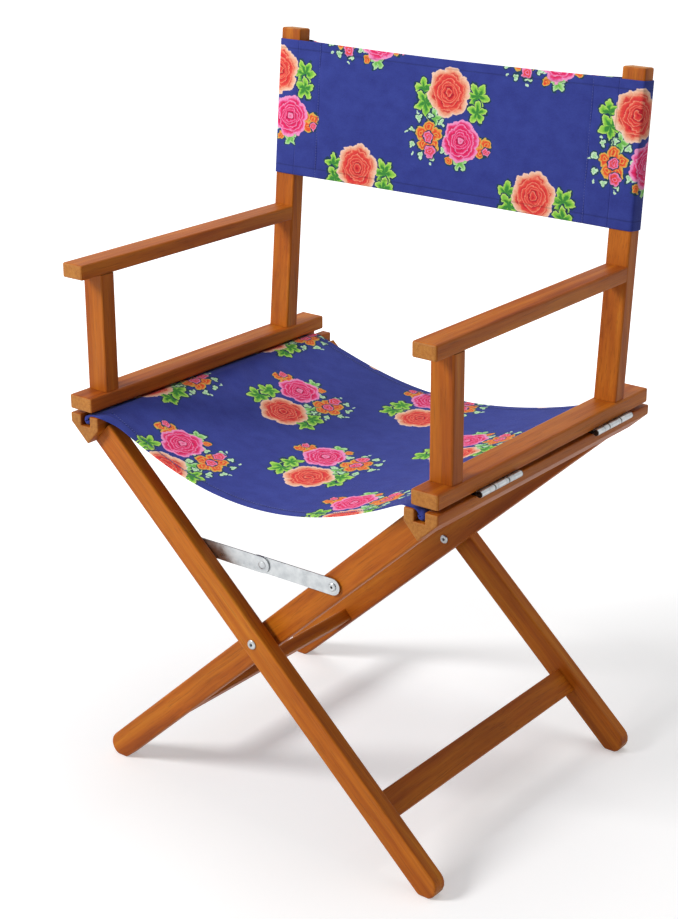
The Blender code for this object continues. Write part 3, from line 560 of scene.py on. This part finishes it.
def make_back(canvas, thread):
    """The back: a panel from post to post, a sleeve round each post, and behind it the flap
    that brings the sleeve back to the seam. The panel, the flaps and the seams lie between the
    posts and go with the left arm, and the sleeves go with their posts. Each is a
    surface of its length across and the height: the panel stands back by
    slack x (1 - (across / seam) ^ 2), with a wave up each seam that fades out to either side,
    and a sleeve or a flap carries its section up the rake."""
    heights = np.linspace(BACK_BOTTOM, BACK_TOP, 112)[:, None]
    v = (heights - PRINT_MIDDLE) / math.cos(BACK_RAKE)
    edge = np.minimum(heights - BACK_BOTTOM, BACK_TOP - heights) / math.cos(BACK_RAKE)
    front, rear = -SLEEVE_EASE - CLOTH / 2, POST_DEPTH + SLEEVE_EASE + CLOTH / 2
    inner, outer = right_post[0][0] - PANEL_GAP, right_post[1][0] + SLEEVE_EASE + CLOTH / 2

    # the panel hangs a little slack between its seams, and the seams pull short creases
    u = np.linspace(-inner, inner, 300)[None, :]
    off_seam = np.abs(u) - SEAM_X
    slack = 1 - np.clip(np.abs(u) / SEAM_X, 0, 1) ** 2
    pull = np.exp(-(off_seam / CREASE_REACH) ** 2)
    pull = pull * np.clip((inner - np.abs(u)) / CREASE_FADE, 0, 1)
    wave = np.sin((heights - BACK_BOTTOM) * CREASE_TURN + 1.2 * np.sign(u))
    dent = DENT * np.exp(-(off_seam / DENT_REACH) ** 2)
    past = np.clip(off_seam / (inner - SEAM_X), 0, 1)
    behind = (SLACK * slack + CREASE * pull * wave + dent - CLOTH / 2
              + (front + CLOTH / 2) * past)
    hang = heights - DROOP * slack * (heights - BACK_BOTTOM) / (BACK_TOP - BACK_BOTTOM)
    panel = sheet_object("back_panel", back_place(u, behind, hang), (u, v, edge), canvas)
    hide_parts("back_canvas")
    between = [panel]

    # the sections, across and behind: round the post, then along the panel's back to the seam
    round_post = np.array([(inner, front), (outer - 0.003, front), (outer, front + 0.0025),
                           (outer, rear - 0.0025), (outer - 0.003, rear), (inner, rear)])
    to_seam = np.array([(inner, rear), (inner - 0.003, rear - 0.001), (SEAM_X + 0.010, 0.0042),
                        (SEAM_X + 0.004, CLOTH), (SEAM_X - 0.004, CLOTH)])
    for side, arm in ((-1, "left_arm"), (1, "right_arm")):
        start = inner
        for name, section, count in (("back_sleeve_", round_post, 64),
                                     ("back_flap_", to_seam, 24)):
            line, reach = along_line(rounded(section, 2), count)
            place = back_place(side * line[None, :, 0], line[None, :, 1], heights)
            piece = sheet_object(name + arm, place, (side * (start + reach)[None, :], v, edge),
                                 canvas)
            start += reach[-1]
            if name == "back_sleeve_":
                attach(piece, arm)
            else:
                between.append(piece)

    # the seams' stitches, up the front of the panel and half sunk in its dent
    up = np.array([0, math.sin(BACK_RAKE), math.cos(BACK_RAKE)])
    out = np.array([0, -math.cos(BACK_RAKE), math.sin(BACK_RAKE)])
    rows = np.arange(BACK_BOTTOM + 0.002, BACK_TOP - 0.001, STITCH)
    for side, name in ((-1, "left"), (1, "right")):
        spots = back_place(np.full(len(rows), side * SEAM_X), -CLOTH + 0.0005, rows)
        seam = stitches("back_seam_" + name, spots, up, out, thread)
        between.append(seam)
    for piece in between:
        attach(piece, "left_arm")
        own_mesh(piece)


def seat_line(sag):
    """The seat's section (n, 2), across and up, from its middle to its roll: it falls below
    the rail by sag x (1 - (across / lip) ^ 2) ^ SAG_POWER, goes over the rail's lip and then
    as an arc round the dowel in the groove."""
    height = rail_box[1][2] + RAIL_EASE + CLOTH / 2
    x = np.linspace(0, RAIL_LIP, 60)
    fall = sag * (1 - (x / RAIL_LIP) ** 2) ** SAG_POWER
    radius = DOWEL_RADIUS + DOWEL_EASE + CLOTH / 2
    turn = np.linspace(math.pi * 0.62, -math.pi * 1.05, 40)
    roll = np.stack([DOWEL_X + radius * np.cos(turn), DOWEL_Z + radius * np.sin(turn)], axis=1)
    edge = [[RAIL_LIP + GROOVE_EDGE, height]]
    return np.concatenate([np.stack([x, height - fall], axis=1), edge, roll])


def make_seat(canvas, thread):
    """The seat: a sheet that hangs between the rails, lower at the front, rolled at both sides.
    Its section goes in equal shares from the front's to the rear's. To its height are added
    folds that fade out from the rails, a slow ripple and the curl of its two hems."""
    front, rear = seat_box[0][1], seat_box[1][1]
    rows, half = 190, 112
    ys = np.linspace(front, rear, rows)
    share = ((ys - front) / (rear - front))[:, None]
    near, near_reach = along_line(seat_line(SAG_FRONT), half)
    far, far_reach = along_line(seat_line(SAG_REAR), half)
    x = near[:, 0] * (1 - share) + far[:, 0] * share
    z = near[:, 1] * (1 - share) + far[:, 1] * share
    u = near_reach * (1 - share) + far_reach * share
    # the left half mirrors the right one, and they share the middle line
    full_x = np.concatenate([-x[:, :0:-1], x], axis=1)
    full_z = np.concatenate([z[:, :0:-1], z], axis=1)
    full_u = np.concatenate([-u[:, :0:-1], u], axis=1)
    free = np.clip(1 - np.abs(full_x) / RAIL_LIP, 0, 1)
    side = np.sign(full_x)
    drag = np.exp(-(free / 0.16) ** 2) * np.clip(free / 0.03, 0, 1)
    folds = FOLD_DEPTH * drag * np.sin(ys[:, None] * 120 + side * 0.8 + free * 9)
    curl = 0.0012 * np.exp(-(share / 0.03) ** 2) - 0.0008 * np.exp(-((1 - share) / 0.03) ** 2)
    ripple = RIPPLE * np.sin(full_u * 21 + ys[:, None] * 13) * np.sin(ys[:, None] * 17 + 0.6)
    full_z = full_z + folds + (ripple + curl) * np.clip(free / 0.25, 0, 1)
    # the hem's corners are drawn forwards, to the ends of the rails' grooves
    outward = np.clip((np.abs(full_x) - RAIL_LIP + 0.03) / 0.03, 0, 1) ** 2
    flare = (front - rail_box[0][1] - FLARE_END) * np.exp(-share / 0.12) * outward
    full_y = ys[:, None] - flare
    # the rolled cloth is tucked together at both ends of the dowel
    off_x, off_z = np.abs(full_x) - DOWEL_X, full_z - DOWEL_Z
    in_roll = np.clip((ROLL_REACH - np.hypot(off_x, off_z)) / 0.001, 0, 1)
    tuck = 0.85 * in_roll * (np.exp(-share / 0.0012) + np.exp((share - 1) / 0.0012))
    full_x = full_x - side * off_x * tuck
    full_z = full_z - off_z * tuck
    v = np.broadcast_to(ys[:, None], full_x.shape) + SEAT_PRINT
    edge = np.minimum(ys - front, rear - ys)[:, None]
    # the seat's print is turned round, so it runs the other way on both axes
    seat = sheet_object("seat_sheet", np.stack([full_x, full_y, full_z], axis=-1),
                        (-full_u, -v, edge), canvas)

    # each hem's stitches follow the cloth's own line from lip to lip, on its upper face
    hem_row = int(HEM / (rear - front) * rows)
    count = int(2 * RAIL_LIP / STITCH * 1.05)
    for name, row in (("front", hem_row), ("rear", rows - 1 - hem_row)):
        line = np.stack([full_x[row], full_z[row]], axis=1)
        line = line[np.abs(line[:, 0]) < RAIL_LIP]
        spots = along_line(line, count)[0]
        slopes = np.gradient(spots, axis=0)
        slopes /= np.linalg.norm(slopes, axis=1)[:, None]
        flat = np.stack([spots[:, 0], np.full(count, ys[row]), spots[:, 1]], axis=1)
        over = np.stack([-slopes[:, 1], np.zeros(count), slopes[:, 0]], axis=1)
        lifted = flat + over * CLOTH * 0.7
        row_piece = stitches("seat_hem_stitches_" + name, lifted, np.array([1.0, 0, 0]),
                             np.array([0, 0, 1.0]), thread)
        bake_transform(row_piece)
    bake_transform(seat)
    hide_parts("seat_canvas")


# ---------------------------------------------------------------- the boards and fittings

# Turns, in degrees, that take a board's length to X
ALONG_Y = (0, 0, -90)
ALONG_Z = (0, 90, 0)


def dress_frame():
    """Gives every carried-over piece its finish: each board its own figure and painted shade, and
    each bolt, screw and hinge the painted shade of its recess or its gaps in its own place."""
    # each board's turn, the number of its figure, and how much painted shade darkens it
    boards = {}
    for number, side in enumerate(("left_arm", "right_arm")):
        boards[side + "_base_rail"] = (ALONG_Y, 3 + number * 9, 0.02)
        boards[side + "_armrest"] = (ALONG_Y, 5 + number * 7, 0.0)
        boards[side + "_front_post"] = (ALONG_Z, 7 + number * 5, 0.04)
        boards[side + "_back_post"] = (ALONG_Z, 8 + number * 11, 0.0)
    for number, (frame_name, angle) in enumerate((("outer", 180 - LEG_ANGLE), ("inner", LEG_ANGLE))):
        boards[frame_name + "_leg_front"] = ((0, angle, 0), 11 + number * 6, 0.0)
        boards[frame_name + "_leg_rear"] = ((0, angle, 0), 13 + number * 8, 0.05)
        boards[frame_name + "_stretcher"] = (ALONG_Y, 17 + number * 4, 0.05)
        boards[frame_name + "_seat_rail"] = (ALONG_Y, 19 + number * 10, 0.06)
        boards[frame_name + "_seat_dowel"] = (ALONG_Y, 23 + number * 3, 0.1)
    strip = make_zinc("zinc_plated_strip", True)
    fittings = make_zinc("zinc_plated_fittings", False)
    marked = {}
    for name in ("pivot_bolt_front", "pivot_bolt_rear", "stay_outer_screw", "stay_inner_screw"):
        low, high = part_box(name)
        middle = ((low[0] + high[0]) / 2, 0.0, (low[2] + high[2]) / 2)
        marked[name] = make_zinc("zinc_plated_" + name, False, [middle])
    for end in ("front", "rear"):
        low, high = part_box("right_arm_hinge_pin_" + end)
        hinge = make_zinc("zinc_plated_hinge_" + end, False, (),
                          (low[1], (high[1] - low[1]) / HINGE_KNUCKLES))
        for body in ("left_arm", "right_arm", "outer", "inner"):
            marked[body + "_hinge_leaf_" + end] = hinge
            marked[body + "_hinge_pin_" + end] = hinge
    for name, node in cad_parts.items():
        if name in boards:
            finish = make_hardwood(name, *boards[name])
        else:
            finish = marked.get(name, strip if name.startswith("stay") else fittings)
        for slot in node.material_slots:
            slot.material = finish


# ---------------------------------------------------------------- the studio

def seen_rays(tree):
    """1 for the rays that look at a surface, straight or through a mirror, and 0 for those
    that only light other things: the largest of the three kinds' own 1 or 0."""
    rays = add(tree, "LightPath")
    seen = rays.outputs["Is Camera Ray"]
    for name in ("Is Glossy Ray", "Is Transmission Ray"):
        seen = add(tree, "Math", {0: seen, 1: rays.outputs[name]}, 0, operation="MAXIMUM")
    return seen


def make_studio():
    """A pale floor, a soft key light from the front left, a weak fill and a top light. The
    floor and the world glow only for rays that look at them, so both look white and light
    the chair little. The floor's glow weakens towards the chair, where its shadow shows."""
    # matt paper: no highlight
    material, tree, shader = start_material("pale_paper_floor")
    shader.inputs["Base Color"].default_value = (0.82, 0.82, 0.82, 1)
    shader.inputs["Roughness"].default_value = 0.9
    shader.inputs["Specular IOR Level"].default_value = 0.1
    seen = seen_rays(tree)
    spot = add(tree, "TexCoord", None, "Object")
    away = add(tree, "VectorMath", {0: spot}, "Value", operation="LENGTH")
    glow = add(tree, "MapRange", {0: away, 1: 0.5, 2: 1.5, 3: 0.34, 4: 0.95}, 0)
    glow = add(tree, "Math", {0: glow, 1: seen}, 0, operation="MULTIPLY")
    shader.inputs["Emission Color"].default_value = (1, 1, 1, 1)
    tree.links.new(glow, shader.inputs["Emission Strength"])
    corners = FLOOR_REACH * np.array([(-1, -1, 0), (1, -1, 0), (1, 1, 0), (-1, 1, 0)])
    floor = mesh_object("floor", corners - (0, 0, FLOOR_DROP), [(0, 1, 2, 3)], material, False)

    world = bpy.data.worlds.new("studio")
    bpy.context.scene.world = world
    world.use_nodes = True
    tree = world.node_tree
    back = tree.nodes["Background"]
    back.inputs["Color"].default_value = (1, 1, 1, 1)
    strength = add(tree, "MapRange", {0: seen_rays(tree), 3: WORLD_LIGHT, 4: 1.0}, 0)
    tree.links.new(strength, back.inputs["Strength"])
    for name, place, size, power in LAMPS:
        lamp = bpy.data.lights.new(name, "AREA")
        lamp.shape = "DISK"
        lamp.size = size
        lamp.energy = power
        holder = bpy.data.objects.new(name, lamp)
        bpy.context.scene.collection.objects.link(holder)
        holder.location = place
        aim = Vector(LAMP_TARGET) - Vector(place)
        holder.rotation_euler = aim.to_track_quat("-Z", "Y").to_euler()


def make_camera():
    """A long lens from the front right, a little above the seat back, looking slightly down."""
    place = (1.2974, -1.6936, 1.2177)
    yaw, pitch, roll = math.radians(36.27), math.radians(19.07), math.radians(-0.37)
    lens = bpy.data.cameras.new("camera")
    lens.sensor_width = 36
    lens.lens = 74.02
    lens.shift_x, lens.shift_y = -0.0664, -0.0647
    camera = bpy.data.objects.new("camera", lens)
    bpy.context.scene.collection.objects.link(camera)
    turn = (Matrix.Rotation(yaw, 4, "Z") @ Matrix.Rotation(math.pi / 2 - pitch, 4, "X")
            @ Matrix.Rotation(-roll, 4, "Z"))
    camera.matrix_world = Matrix.Translation(place) @ turn
    bpy.context.scene.camera = camera


bpy.context.scene.view_settings.view_transform = "Standard"
make_camera()
make_studio()
dress_frame()
canvas_cloth = make_canvas()
sewing_thread = make_thread()
make_back(canvas_cloth, sewing_thread)
make_seat(canvas_cloth, sewing_thread)
